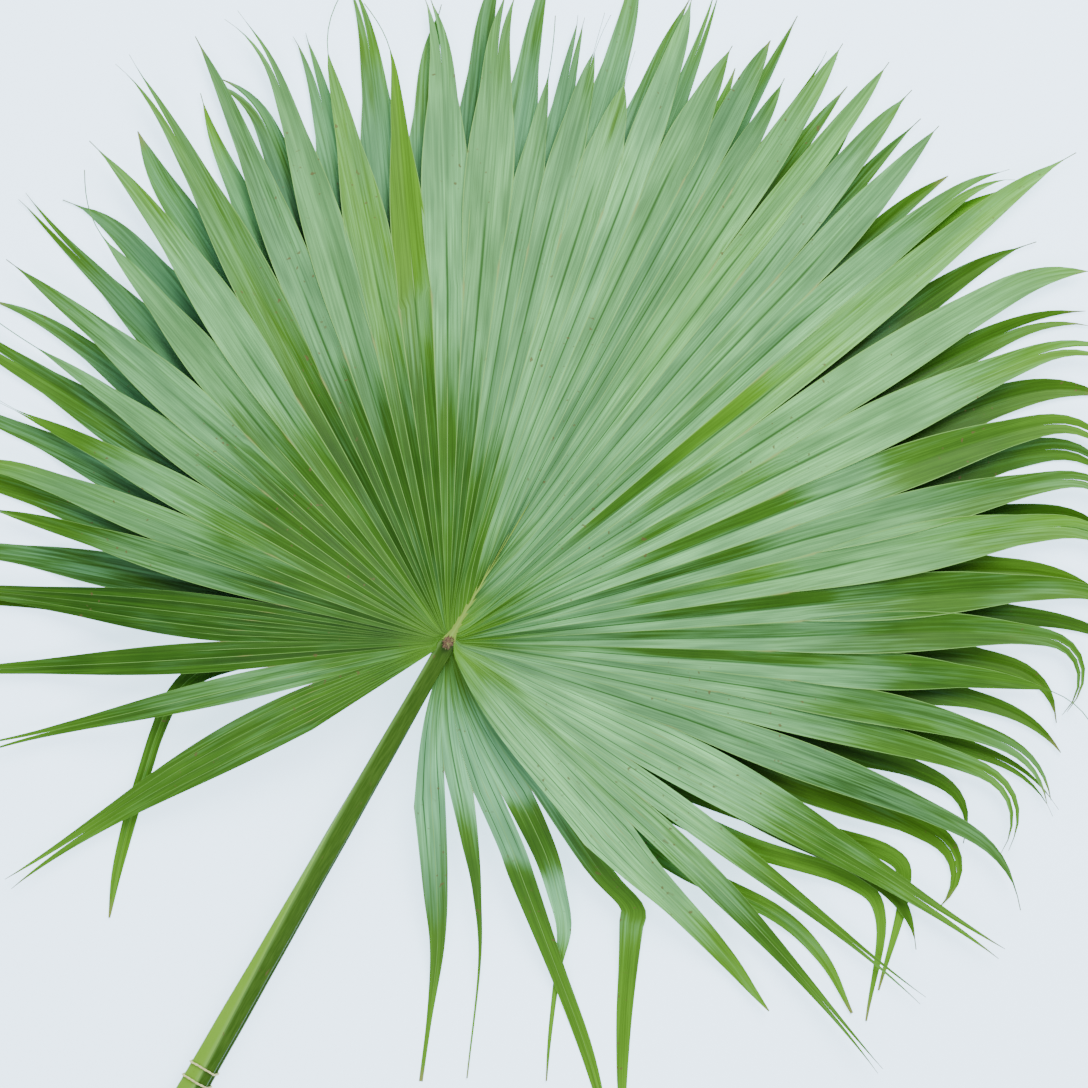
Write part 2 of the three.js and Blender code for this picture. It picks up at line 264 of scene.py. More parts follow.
def blade_line(angle, split, shares):
    """Points of a rib or ridge from the hub or costa out to its split."""
    inner = leaving_radius(angle)
    radius = inner + (split - inner) * shares**1.25
    flare = MARGIN_FLARE * smooth(-104, -117, angle) * np.exp(-((radius / 130) ** 2))
    return polar(radius, angle * costa_share(radius, angle) - flare), radius


def smooth_path(stops, count):
    """A Catmull-Rom curve through the stops, as count evenly shared points."""
    stops = np.array(stops, float)
    padded = np.vstack([2 * stops[0] - stops[1], stops, 2 * stops[-1] - stops[-2]])
    shares = np.linspace(0, len(stops) - 1 - 1e-9, count)
    span = shares.astype(int)
    t = (shares - span)[:, None]
    p0, p1, p2, p3 = (padded[span + i] for i in range(4))
    return 0.5 * (
        2 * p1 + (p2 - p0) * t + (2 * p0 - 5 * p1 + 4 * p2 - p3) * t**2
        + (3 * p1 - p0 - 3 * p2 + p3) * t**3
    )


def bent_path(start, heading, length, bend, droop):
    """A path that leaves start at a heading, turns by bend on its way and by droop at its tip."""
    steps = np.linspace(0, 1, FREE_ROWS)
    middle = (steps[1:] + steps[:-1]) / 2
    turns = heading + bend * middle**3.6 + droop * smooth(0.72, 1.0, middle)
    moves = polar(length * np.diff(steps), turns)
    return np.vstack([start, start + np.cumsum(moves, axis=0)])


def normals_of(path):
    """Unit vectors across a path, pointing to its left."""
    along = np.gradient(path, axis=0)
    along /= np.linalg.norm(along, axis=1)[:, None]
    return np.stack([-along[:, 1], along[:, 0]], axis=1)


# ------------------------ one sheet of a blade
class Sheet:
    """Collects grids of points into one welded sheet, with the values that its material reads."""

    def __init__(self):
        self.points = []
        self.index_of = {}
        self.faces = []
        self.values = {"tone": [], "line": [], "fibre": []}

    def vertex(self, point):
        key = tuple(round(value, 3) for value in point)
        if key not in self.index_of:
            self.index_of[key] = len(self.points)
            self.points.append(key)
        return self.index_of[key]

    def add(self, grid, **values):
        """Adds a grid of points (row, column, xyz) that faces up, and its values of that shape."""
        rows, columns = grid.shape[:2]
        ids = [[self.vertex(point) for point in row] for row in grid]
        for r in range(rows - 1):
            for c in range(columns - 1):
                corners = [(r, c), (r + 1, c), (r + 1, c + 1), (r, c + 1)]
                face = [ids[i][j] for i, j in corners]
                if len(set(face)) < 4:
                    continue
                self.faces.append(face)
                for name, array in values.items():
                    self.values[name].append([array[i, j] for i, j in corners])

    def mesh(self, name, thickness):
        """Closes the sheet into a thin solid."""
        count = len(self.points)
        points = np.array(self.points)
        lifted = points + [0, 0, thickness]
        edges = {}
        for number, face in enumerate(self.faces):
            for corner in range(4):
                start, end = face[corner], face[(corner + 1) % 4]
                if edges.pop((end, start), None) is None:
                    edges[start, end] = (number, corner)
        faces = [[i + count for i in face] for face in self.faces]
        faces += [face[::-1] for face in self.faces]
        faces += [[a, b, b + count, a + count] for a, b in edges]
        mesh = bpy.data.meshes.new(name)
        mesh.from_pydata((np.vstack([points, lifted]) * MM).tolist(), [], faces)
        for key, values in self.values.items():
            upper = np.array(values, float)
            walls = []
            for number, corner in edges.values():
                first, second = upper[number][corner], upper[number][(corner + 1) % 4]
                walls.append([first, second, second, first])
            corners = np.concatenate([upper, upper[:, ::-1], np.array(walls)])
            attribute = mesh.attributes.new(key, "FLOAT_VECTOR", "CORNER")
            attribute.data.foreach_set("vector", corners.ravel())
        under = np.zeros(len(faces))
        under[len(self.faces):2 * len(self.faces)] = 1
        mesh.attributes.new("under", "FLOAT", "FACE").data.foreach_set("value", under)
        mesh.shade_smooth()
        mesh.set_sharp_from_angle(angle=math.radians(70))
        mesh.transform(Matrix.Translation(HUB))
        return mesh


def columns_of(ribs):
    """Columns across a segment: share of its width, height over depth, rib line and ridge line."""
    columns = []
    for pleat in range(ribs):
        half = [(pos, peak, 0.0, float(pos == 0)) for pos, peak in HALF_PLEAT]
        half += [(1.0, 0.0, 1.0, 0.0)]
        half += [(2 - pos, peak, 0.0, 0.0) for pos, peak in HALF_PLEAT[:0:-1]]
        columns += [((pleat + pos / 2) / ribs, peak, rib, ridge) for pos, peak, rib, ridge in half]
    columns.append((1.0, HALF_PLEAT[0][1], 0.0, 1.0))
    return np.array(columns).T


def depth_ratio(radius, angle):
    """Depth of a pleat over its width: sharply folded at the hub, flatter outwards."""
    fold = OUTER_FOLD + HUB_FOLD * np.exp(-radius / HUB_FOLD_RADIUS)
    return look_up(FOLD_STRENGTH, angle)[0] * fold


def fused_part(edges, splits, pitches, across):
    """A segment inside its splits: points, radii, pleat depths, and its width in each row."""
    shares = np.linspace(0, 1, FUSED_ROWS)
    lines = []
    radii = []
    for u in across:
        angle = edges[0] + (edges[1] - edges[0]) * u
        line, line_radius = blade_line(angle, splits[0] + (splits[1] - splits[0]) * u, shares)
        lines.append(line)
        radii.append(line_radius)
    points = np.stack(lines, axis=1)
    radius = np.stack(radii, axis=1)
    pitch = np.radians(pitches[0] + (pitches[1] - pitches[0]) * across)
    opened = np.linalg.norm(points[:, -1] - points[:, 0], axis=1)
    spread = np.radians(edges[1] - edges[0]) * radius.mean(axis=1)
    depth = depth_ratio(radius, (edges[0] + edges[1]) / 2) * pitch * radius
    depth *= np.clip(opened / spread, 0, 1)[:, None]
    # An edge is shared with the next segment, so its depth depends on the edge alone.
    for side in (0, -1):
        line_radius = radius[:, side]
        ratio = depth_ratio(line_radius, edges[side]) * costa_share(line_radius, edges[side])
        depth[:, side] = ratio * pitch[side] * line_radius
    return points, radius, depth, spread


def free_part(path, widths, start, across, steps):
    """A segment beyond its splits: points, and how far each lies to the right of the path."""
    offset = -(across - 0.5)[None, :] * widths[:, None]
    points = path[:, None, :] - normals_of(path)[:, None, :] * offset[..., None]
    points += (start - points[0])[None] * ((1 - steps) ** 3)[..., None]
    return points, offset


def heights_of(points, level, pleats, along, side, character):
    """Heights of a segment: dome, ripple and pleats, then how its free part lifts, rolls and waves."""
    height = dome(points, level) + ripple(points) * (0.5 + 0.3 * level) + pleats
    height += character["lift"] * along**1.5 + character["roll"] * side * smooth(0.1, 0.9, along)
    height += character["wave"] * np.sin(along * 7 + character["phase"]) * smooth(0, 0.4, along)
    return height


def add_segment(sheet, level, edges, splits, pitches, ribs, path, widths, bloom, shaded_half, character):
    """One segment: its fused part up to the splits, then its free part along a path.

    path and widths describe the free part in FREE_ROWS points; character holds its random traits.
    """
    across, peak, rib, ridge = columns_of(ribs)
    character["ribs"] = ribs
    steps = np.linspace(0, 1, FREE_ROWS)[:, None]
    fused, fused_radius, fused_depth, spread = fused_part(edges, splits, pitches, across)
    free, offset = free_part(path, widths, fused[-1], across, steps)
    folded = (FREE_FOLD + character["fold"]) * look_up(FOLD_STRENGTH, sum(edges) / 2)[0]
    free_depth = folded * widths[:, None] / ribs * np.ones_like(offset)
    blend = smooth(0, 0.25, steps)
    free_depth = fused_depth[-1][None] * (1 - blend) + free_depth * blend

    points = np.vstack([fused, free[1:]])
    depth = np.vstack([fused_depth, free_depth[1:]])
    along = np.concatenate([np.zeros(FUSED_ROWS), steps[1:, 0]])[:, None]
    side = np.vstack([np.zeros_like(fused_radius), offset[1:]])
    height = heights_of(points, level, peak * depth, along, side, character)
    grid = np.dstack([points, np.maximum(height, FLOOR_CLEARANCE + 0.05 * peak)])

    radius = np.hypot(points[..., 0], points[..., 1])
    ones = np.ones_like(radius)
    at_split = np.exp(-(((radius - radius[FUSED_ROWS - 1]) / SPLIT_MARK_RADIUS) ** 2))
    wide = np.concatenate([spread, widths[1:]])[:, None]
    values = {
        "tone": tone_of(radius, along, across, bloom, shaded_half, character),
        "line": np.dstack([
            rib * (1 - 0.8 * smooth(0.0, 0.4, along)) * ones,
            ridge * ones,
            smooth(0.93, 1.0, along) * ones + 0.7 * ridge * at_split,
        ]),
        "fibre": np.dstack([
            (across - 0.5) * wide + FIBRE_SHIFT * character["phase"],
            radius,
            character["phase"] * ones,
        ]),
    }
    add_with_end(sheet, grid, values, character)


def add_with_end(sheet, grid, values, character):
    """Adds a segment's grid to the sheet, with its last rows as two prongs if it is forked."""
    if not character["fork"]:
        sheet.add(grid, **values)
        return
    fork = len(grid) - PRONG_ROWS
    sheet.add(grid[:fork + 1], **{name: value[:fork + 1] for name, value in values.items()})
    middle = grid.shape[1] // 2
    for half, turn in ((slice(0, middle + 1), -1), (slice(middle, None), 1)):
        prong = bend_prong(grid[fork:, half], turn * character["fork"], character["lean"])
        sheet.add(prong, **{name: value[fork:, half] for name, value in values.items()})


def bend_prong(grid, turn, lean):
    """Turns half a segment's end away from the other half, more and more towards its tip."""
    prong = grid.copy()
    pivot = grid[0, :, :2].mean(axis=0)
    for row in range(1, len(grid)):
        share = row / (len(grid) - 1)
        angle = math.radians(turn * share + lean * share**1.5)
        moved = grid[row, :, :2] - pivot
        cos, sin = math.cos(angle), math.sin(angle)
        prong[row, :, 0] = pivot[0] + cos * moved[:, 0] - sin * moved[:, 1]
        prong[row, :, 1] = pivot[1] + sin * moved[:, 0] + cos * moved[:, 1]
    return prong


def tone_of(radius, along, across, bloom, shaded_half, character):
    """Bloom, warmth and shade over a segment.

    Bloom is how pale it is: partly real wax, partly a painted sheen of the sky. Warmth is how
    yellow it is, and shade how bright: a random tone that also carries painted light and shade.
    The bloom argument gives the radius where it begins and its strength, and the patch argument is
    a bare green stretch of the segment's left half, painted shade on the half turned from the light.
    """
    start, strength = bloom
    begun = smooth(start - BLOOM_AND_SHEEN_RISE, start + BLOOM_AND_SHEEN_RISE, radius + character["ragged"])
    bloomed = strength * (0.12 + 0.88 * begun)
    if "bloom" in character:
        bloomed[FUSED_ROWS:] = character["bloom"][1:, None]
    else:
        fading = character["fade"]
        bloomed = bloomed * (1 - character["faded"] * smooth(fading, fading + 0.4, along))
    # Painted shade: the pale skin is taken off the segment's left half, the half turned from the light.
    if shaded_half:
        inner, outer, bare = shaded_half
        left_half = smooth(0.5, 0.53, across)
        stretch = smooth(inner - 50, inner + 50, radius) * (1 - smooth(outer - 50, outer + 40, radius))
        bloomed = bloomed * (1 - bare * left_half * stretch)
    warmth = character["warmth"] * smooth(230, 380, radius) + 0.4 * smooth(0.5, 1.0, along)
    warmth = warmth + 0.3 * (1 - smooth(15, 70, radius))
    ones = np.ones_like(radius)
    halves = np.minimum((across * 2 * character["ribs"]).astype(int), 2 * character["ribs"] - 1)
    shade = character["shade"] + 0.2 * np.sin(halves * 2.4 + 9 * character["phase"])
    return np.dstack([bloomed * ones, warmth * ones, np.clip(shade, -0.4, 0.5 + 1.2 * bloomed) * ones])


def character_of(level, fork=None):
    """Random traits of one segment. A fork, in degrees, may be given instead of drawn."""
    return {
        "fold": rng.uniform(-0.06, 0.06),
        "lift": rng.uniform(0, 7) * (1 + level),
        "roll": rng.uniform(-0.22, 0.22),
        "wave": rng.uniform(0, 2.2),
        "fade": rng.uniform(0.2, 0.65),
        "faded": rng.uniform(0.45, 1.0),
        "phase": rng.uniform(0, 6.28),
        "ragged": rng.uniform(-22, 22),
        "warmth": rng.random() ** 3 * 0.5,
        # Painted shade: the back leaf's segments are drawn darker than the front's, as lying in its
        # shadow.
        "shade": rng.random() if level else 0.6 * rng.random(),
        "fork": rng.choice([0, 0, 0, 2, 3, 5]) if fork is None else fork,
        "lean": 0.0,
    }


def taper(width, steps, power, swell, thread=0.0):
    """Widths of a free part that swells, then narrows; its last share, if any, is a thread."""
    steps = np.minimum(steps / (1 - thread), 1)
    swollen = 1 + swell * np.sin(math.pi * np.minimum(1.5 * steps, 1))
    return np.maximum(width * swollen * (1 - steps**power) ** 0.9, THREAD_WIDTH)


def end_of(level, middle):
    """How far a single segment's end droops, and which share of its free part is a thread."""
    sideways = float(smooth(0, 45, abs(middle + 5)))
    droop = sideways * (rng.uniform(-60, 0) if middle < 0 else rng.uniform(-30, 30))
    thread = 0.06 * rng.random() ** 1.5
    if level and rng.random() < 0.4 * sideways:
        droop *= 1.8
        thread = rng.uniform(0.16, 0.26)
    return droop, thread


def add_regular(sheet, level, rows, bloom_table):
    """The single segments of a blade, from one table row each."""
    steps = np.linspace(0, 1, FREE_ROWS)
    pitches = [rows[i + 1][0] - rows[i][0] for i in range(len(rows) - 1)]
    for i, pitch in enumerate(pitches):
        first, split, tip, bend = rows[i]
        last, next_split = rows[i + 1][:2]
        middle = (first + last) / 2
        reach = (split + next_split) / 2
        length = tip - reach + rng.uniform(-12, 24)
        bend += rng.uniform(-5, 5)
        width = math.radians(pitch) * reach * rng.uniform(0.92, 1.16)
        swell = 0.1 + 0.3 * float(smooth(5, 40, abs(middle + 10))) + 0.15 * (1 - level)
        droop, thread = end_of(level, middle)
        path = bent_path(polar(reach, middle), middle + rng.uniform(-2, 2), length, bend, droop)
        character = character_of(level)
        character["lean"] = bend * rng.uniform(0.1, 0.8)
        *bloom, lost = look_up(bloom_table, middle)
        character["faded"] *= lost
        character["fade"] -= 0.3 * float(smooth(-25, -55, middle))
        # Painted shadow: the back leaf's segments on the right are darkened more, under the front leaf.
        if level == 0:
            character["shade"] -= 0.5 * float(smooth(0, -40, middle))
        for tinted_angle, warmth, bloom_left, width_share in TINTED if level else []:
            if first < tinted_angle < last:
                character.update(warmth=warmth, fade=-0.2, faded=1 - bloom_left)
                width *= width_share
        around = [pitches[max(i - 1, 0)], pitches[min(i + 1, len(pitches) - 1)]]
        add_segment(
            sheet, level, (first, last), (split, next_split),
            [(pitch + around[0]) / 2, (pitch + around[1]) / 2], 1, path,
            taper(width, steps, rng.uniform(2.4, 5.0), swell, thread),
            bloom, shaded_half_of(level, middle), character,
        )


def back_rows():
    """Rows for the back leaf like FRONT_SEGMENTS, with edges at the middles of its segments."""
    edges = [row[0] for row in FRONT_SEGMENTS]
    middles = [(first + last) / 2 for first, last in zip(edges, edges[1:])]
    rows = []
    for angle in [*BACK_OUTER_EDGES[0], *middles, *BACK_OUTER_EDGES[1]]:
        split, tip, bend = look_up(BACK_PROFILE, angle)
        hang = 1.35 if angle < -30 and rng.random() < 0.3 else 1.0
        rows.append((
            angle, split + rng.uniform(-15, 15), tip + rng.uniform(-38, 30),
            bend * hang + rng.uniform(-7, 7),
        ))
    return rows


def shaded_half_of(level, angle):
    """A bare green stretch, for a segment on the right of the front leaf: painted shade on the half
    of the segment that turns from the light, where the pale skin and its painted sheen are left off.

    It has an inner radius, an outer radius, and the share of the pale skin that is missing there.
    """
    if level == 0 or not -66 < angle < -15:
        return None
    return rng.uniform(130, 220), rng.uniform(300, 430), rng.uniform(0.35, 1.0)


def add_lobe(sheet, level, lobe, next_split):
    """Several segments fused into one that share a tip."""
    first, last, ribs, split, tip, tip_angle, bloom = lobe
    steps = np.linspace(0, 1, FREE_ROWS)
    middle = (first + last) / 2
    reach = (split + next_split) / 2
    start = polar(reach, middle)
    end = polar(tip, tip_angle)
    control = start + polar(0.45 * np.linalg.norm(end - start), middle)
    t = steps[:, None]
    path = (1 - t) ** 2 * start + 2 * t * (1 - t) * control + t**2 * end
    width = math.radians(last - first) * reach
    pitch = (last - first) / ribs
    character = character_of(level, rng.uniform(1, 4))
    character.update(ragged=0, fade=0.15, faded=0.85)
    # Painted light and shade: lobes on the right are drawn lighter where little light reaches them, and
    # the first two left lobes darker, as shaded.
    character["shade"] = 1.5 if middle < 0 else float(smooth(120, 140, middle))
    add_segment(
        sheet, level, (first, last), (split, next_split), [pitch, pitch], ribs, path,
        taper(width, steps, 1.5, 0.2), (LOBE_BLOOM_AND_SHEEN_START, bloom), None, character,
    )


def add_strip(sheet, level, strip, next_split):
    """A hanging segment that follows its own path."""
    first, last, ribs, split, stops = strip
    rows = smooth_path([[*polar(r, a), width, bloom] for a, r, width, bloom in stops], FREE_ROWS)
    path = rows[:, :2]
    start = polar((split + next_split) / 2, (first + last) / 2)
    path += (start - path[0]) * (1 - np.linspace(0, 1, FREE_ROWS)[:, None]) ** 3
    character = character_of(level, 0)
    character.update(lift=rng.uniform(0, 3), roll=0.0, ragged=0.0, bloom=rows[:, 3], warmth=0.35)
    # Painted light: hanging segments on the right are drawn lighter, hiding the front leaf's shadow on
    # them.
    character["shade"] = 1.7 if first < 0 else 0.3
    pitch = (last - first) / ribs
    add_segment(
        sheet, level, (first, last), (split, next_split), [pitch, pitch], ribs, path,
        np.maximum(rows[:, 2], THREAD_WIDTH), (LOBE_BLOOM_AND_SHEEN_START, stops[0][3]), None, character,
    )


def splits_after(items, final):
    """Split radius at the last edge of each lobe or strip: the next one's own, or the final one."""
    return [item[3] for item in items[1:]] + [final]


def front_sheet():
    sheet = Sheet()
    add_strip(sheet, 1, FRONT_RIGHT_STRIP, FRONT_RIGHT_LOBES[0][3])
    right_ends = splits_after(FRONT_RIGHT_LOBES, FRONT_SEGMENTS[0][1])
    for lobe, next_split in zip(FRONT_RIGHT_LOBES, right_ends):
        add_lobe(sheet, 1, lobe, next_split)
    add_regular(sheet, 1, FRONT_SEGMENTS, FRONT_BLOOM_AND_SHEEN)
    left_ends = splits_after(FRONT_LEFT_LOBES, LAST_FRONT_SPLIT)
    for lobe, next_split in zip(FRONT_LEFT_LOBES, left_ends):
        add_lobe(sheet, 1, lobe, next_split)
    return sheet


def back_sheet():
    sheet = Sheet()
    rows = back_rows()
    right_ends = splits_after(BACK_RIGHT_STRIPS, rows[0][1])
    for strip, next_split in zip(BACK_RIGHT_STRIPS, right_ends):
        add_strip(sheet, 0, strip, next_split)
    add_regular(sheet, 0, rows, BACK_BLOOM_AND_SHEEN)
    for strip, next_split in zip(BACK_LEFT_STRIPS, splits_after(BACK_LEFT_STRIPS, LAST_BACK_SPLIT)):
        add_strip(sheet, 0, strip, next_split)
    return sheet


# ------------------------ stalks, crests and ties
STALK_LENGTH = 620.0
COSTA_LENGTH = 210.0
HUB_SECTION = (17.0, 9.0)  # width and height
CUT_SECTION = (28.0, 16.0)
SECTION_SPAN = 0.97  # from the lowest point of a section to its ridge, over its height
BACK_STALK_SHIFT = 3.5  # to the right, at the cut
CREST_RADIUS = 5.6
CREST_STRETCH = 1.25  # length over width
CREST_SIDES = 44
# Rings of a crest from its foot up: [share of its radius, height]
CREST_RINGS = [
    (1.0, 0), (1.04, 0.9), (0.95, 1.8), (0.8, 2.9), (0.62, 3.3), (0.45, 4.1), (0.2, 4.3),
]
TIE_RADIUS = 1.2  # of the string
TIE_SIDES = 12
TIE_RINGS = 150
PLY_LENGTH = 5.0  # along the string, from one ply to the next
# Lower part of a stalk's section, over its width and height, from the right edge to the left one.
SECTION_BELOW = [
    (0.47, 0.17), (0.5, 0.03), (0.47, -0.14), (0.4, -0.3), (0.24, -0.43), (0.0, -0.47),
    (-0.24, -0.43), (-0.4, -0.3), (-0.47, -0.14), (-0.5, 0.03), (-0.47, 0.17),
]


def stalk_section(ridge_x):
    """Points of a stalk's section over its width and height, and the number of its ridge point."""
    (left_x, left_z), (right_x, right_z) = SECTION_BELOW[-1], SECTION_BELOW[0]
    half, shoulder = 0.03, 0.49  # the ridge's half width, and the height where it begins
    left_face = [
        (left_x + (ridge_x - half - left_x) * t, left_z + (shoulder - left_z) * t)
        for t in (0.33, 0.66, 1.0)
    ]
    right_face = [
        (ridge_x + half + (right_x - ridge_x - half) * t, shoulder + (right_z - shoulder) * t)
        for t in (0.0, 0.25, 0.5, 0.75)
    ]
    ridge_number = len(SECTION_BELOW) + len(left_face)
    return SECTION_BELOW + left_face + [(ridge_x, 0.5)] + right_face, ridge_number


def stalk_ring(y, level):
    """A stalk's ring of points at a distance along +Y from the hub, and its material's values."""
    to_cut = max(0.0, -y / STALK_LENGTH)
    width, height = (hub + (cut - hub) * to_cut for hub, cut in zip(HUB_SECTION, CUT_SECTION))
    cut_top = CUT_SECTION[1] * SECTION_SPAN * (1 + level)
    hub_top = HUB_HEIGHTS[level] + 1.0
    top = hub_top + (cut_top - hub_top) * math.sqrt(to_cut) * (0.4 + 0.6 * to_cut)
    ridge_x = -0.44 + 0.56 * float(smooth(0.2, 0.95, to_cut))
    if y > 0:
        shrink = 0.1 + 0.42 * (1 - y / COSTA_LENGTH) ** 1.6
        shrink += 0.6 * float(1 - smooth(0, 14, y))
        width, height = width * shrink, height * shrink
        top = float(dome(np.array([0.0, y]), level)) + 1.1 + 1.6 * shrink
        ridge_x = 0.0
    centre_x = BACK_STALK_SHIFT * to_cut if level == 0 else 0.0
    unevenness = 0.25 * math.sin(y / 37 + level) + 0.2 * math.sin(y / 17 + 2)
    section, ridge_number = stalk_section(ridge_x)
    ring = [(centre_x + x * (width + unevenness), y, top + (z - 0.5) * height) for x, z in section]
    left_side = [float(ridge_number - 5 <= i <= ridge_number) for i in range(len(section))]
    on_ridge = [float(abs(i - ridge_number) <= 1) for i in range(len(section))]
    return ring, list(zip(left_side, on_ridge, [to_cut] * len(section)))


def tube(rings, closed=False):
    """Vertices and faces of a tube through equal rings, with flat ends unless it is a closed loop."""
    sides = len(rings[0])
    faces = []
    for ring in range(len(rings) - (0 if closed else 1)):
        for side in range(sides):
            a, b = ring * sides + side, ring * sides + (side + 1) % sides
            following = ((ring + 1) % len(rings) - ring) * sides
            faces.append([a, b, b + following, a + following])
    if not closed:
        faces.append(list(range(sides))[::-1])
        faces.append([(len(rings) - 1) * sides + side for side in range(sides)])
    return [point for ring in rings for point in ring], faces


def placed_mesh(name, points, faces, sharp):
    """A mesh from points measured from the hub. Edges over the angle sharp are shaded hard."""
    mesh = bpy.data.meshes.new(name)
    mesh.from_pydata((np.array(points) * MM).tolist(), [], faces)
    mesh.transform(Matrix.Translation(HUB))
    mesh.shade_smooth()
    mesh.set_sharp_from_angle(angle=math.radians(sharp))
    return mesh


def stalk_mesh(name, level):
    """A stalk, which runs on under the blade as the costa."""
    stations = np.concatenate([
        np.linspace(-STALK_LENGTH, -10, 90), np.linspace(-8, 20, 12), np.linspace(26, COSTA_LENGTH, 26),
    ])
    rings, values = zip(*(stalk_ring(float(y), level) for y in stations))
    points, faces = tube(rings)
    mesh = placed_mesh(name, points, faces, 25)
    attribute = mesh.attributes.new("line", "FLOAT_VECTOR", "POINT")
    attribute.data.foreach_set("vector", np.array(values, float).ravel())
    return mesh


def crest_mesh(name, level):
    """The ragged brown crest over the end of a stalk."""
    lobes = [rng.uniform(0.75, 1.15) for _ in range(CREST_SIDES)]
    foot = HUB_HEIGHTS[level] + 0.5
    rings = []
    for size, height in CREST_RINGS:
        ring = []
        for side, lobe in enumerate(lobes):
            turn = 2 * math.pi * side / CREST_SIDES
            radius = CREST_RADIUS * size * (1 + (lobe - 1) * min(1.0, size * 1.1))
            lift = height + 0.9 * (rng.random() - 0.5) * (height > 0)
            ring.append((radius * math.cos(turn), CREST_STRETCH * radius * math.sin(turn), foot + lift))
        rings.append(ring)
    return placed_mesh(name, *tube(rings), 35)


def convex_outline(points):
    """Convex outline of flat points, anticlockwise (Andrew's monotone chain)."""
    def chain(ordered):
        out = []
        for point in ordered:
            while len(out) > 1:
                (ax, ay), (bx, by) = out[-2:]
                if (bx - ax) * (point[1] - by) - (by - ay) * (point[0] - bx) > 0:
                    break
                out.pop()
            out.append(point)
        return out[:-1]
    ordered = sorted(points)
    return chain(ordered) + chain(ordered[::-1])


def tie_mesh(name, y, bow):
    """A two-ply string drawn tight round both stalks. Its middle is at y, and bow moves its sides."""
    flat = [(x, z) for level in (0, 1) for x, _, z in stalk_ring(y, level)[0]]
    outline = np.array(convex_outline(flat))
    outline = np.vstack([outline, outline[:1]])
    lengths = np.concatenate([[0], np.cumsum(np.linalg.norm(np.diff(outline, axis=0), axis=1))])
    stops = np.linspace(0, lengths[-1], TIE_RINGS, endpoint=False)
    centre = np.stack([np.interp(stops, lengths, outline[:, axis]) for axis in (0, 1)], axis=1)
    along = np.roll(centre, -2, axis=0) - np.roll(centre, 2, axis=0)
    along /= np.linalg.norm(along, axis=1)[:, None]
    outward = np.stack([along[:, 1], -along[:, 0]], axis=1)
    plies = round(lengths[-1] / PLY_LENGTH)
    rings = []
    for i in range(TIE_RINGS):
        bowed = y + bow * (centre[i][0] / (CUT_SECTION[0] / 2)) ** 2
        ring = []
        for side in range(TIE_SIDES):
            turn = 2 * math.pi * side / TIE_SIDES
            twist = 2 * math.pi * plies * i / TIE_RINGS
            radius = TIE_RADIUS * (0.82 + 0.18 * math.cos(2 * turn + twist))
            x, z = centre[i] + outward[i] * (TIE_RADIUS + radius * math.cos(turn))
            ring.append((x, bowed + radius * math.sin(turn), z))
        rings.append(ring)
    return placed_mesh(name, *tube(rings, closed=True), 80)


# ------------------------ materials
DEEP_GREEN = (0.015, 0.066, 0.005, 1)
MID_GREEN = (0.055, 0.155, 0.014, 1)
LIME_GREEN = (0.135, 0.36, 0.015, 1)
# Pale greens of the waxy skin: real wax bloom with a painted sheen of the sky in them.
WAXY_AND_SHEEN_GREEN = (0.125, 0.345, 0.135, 1)
BLUISH_WAX_AND_SHEEN_GREEN = (0.11, 0.33, 0.155, 1)
RIB_COLOUR = (0.17, 0.36, 0.09, 1)
COSTA_COLOUR = (0.27, 0.42, 0.07, 1)
SCAR_COLOUR = (0.10, 0.07, 0.03, 1)
DRY_COLOUR = (0.22, 0.2, 0.07, 1)
UNDERSIDE_COLOUR = (0.2, 0.3, 0.16, 1)
STALK_FIBRE_COLOUR = (0.16, 0.3, 0.05, 1)
# Darkest and lightest colour of a mottled part.
# Painted light and shade on one green: the stalk's right face as shaded, its left face as lit.
STALK_RIGHT_PAINTED_SHADE_COLOURS = (0.012, 0.045, 0.002, 1), (0.035, 0.095, 0.004, 1)
STALK_LEFT_PAINTED_LIGHT_COLOURS = (0.10, 0.25, 0.012, 1), (0.17, 0.34, 0.03, 1)
CREST_COLOURS = (0.03, 0.016, 0.008, 1), (0.2, 0.12, 0.06, 1)
CREST_GREEN = (0.17, 0.2, 0.05, 1)
STRING_COLOURS = (0.36, 0.36, 0.12, 1), (0.68, 0.68, 0.32, 1)
STRING_STAIN_COLOUR = (0.42, 0.36, 0.16, 1)
FLOOR_COLOUR = (0.68, 0.82, 1.0, 1)
FLOOR_GLOW = (0.57, 0.79, 1.0, 1)


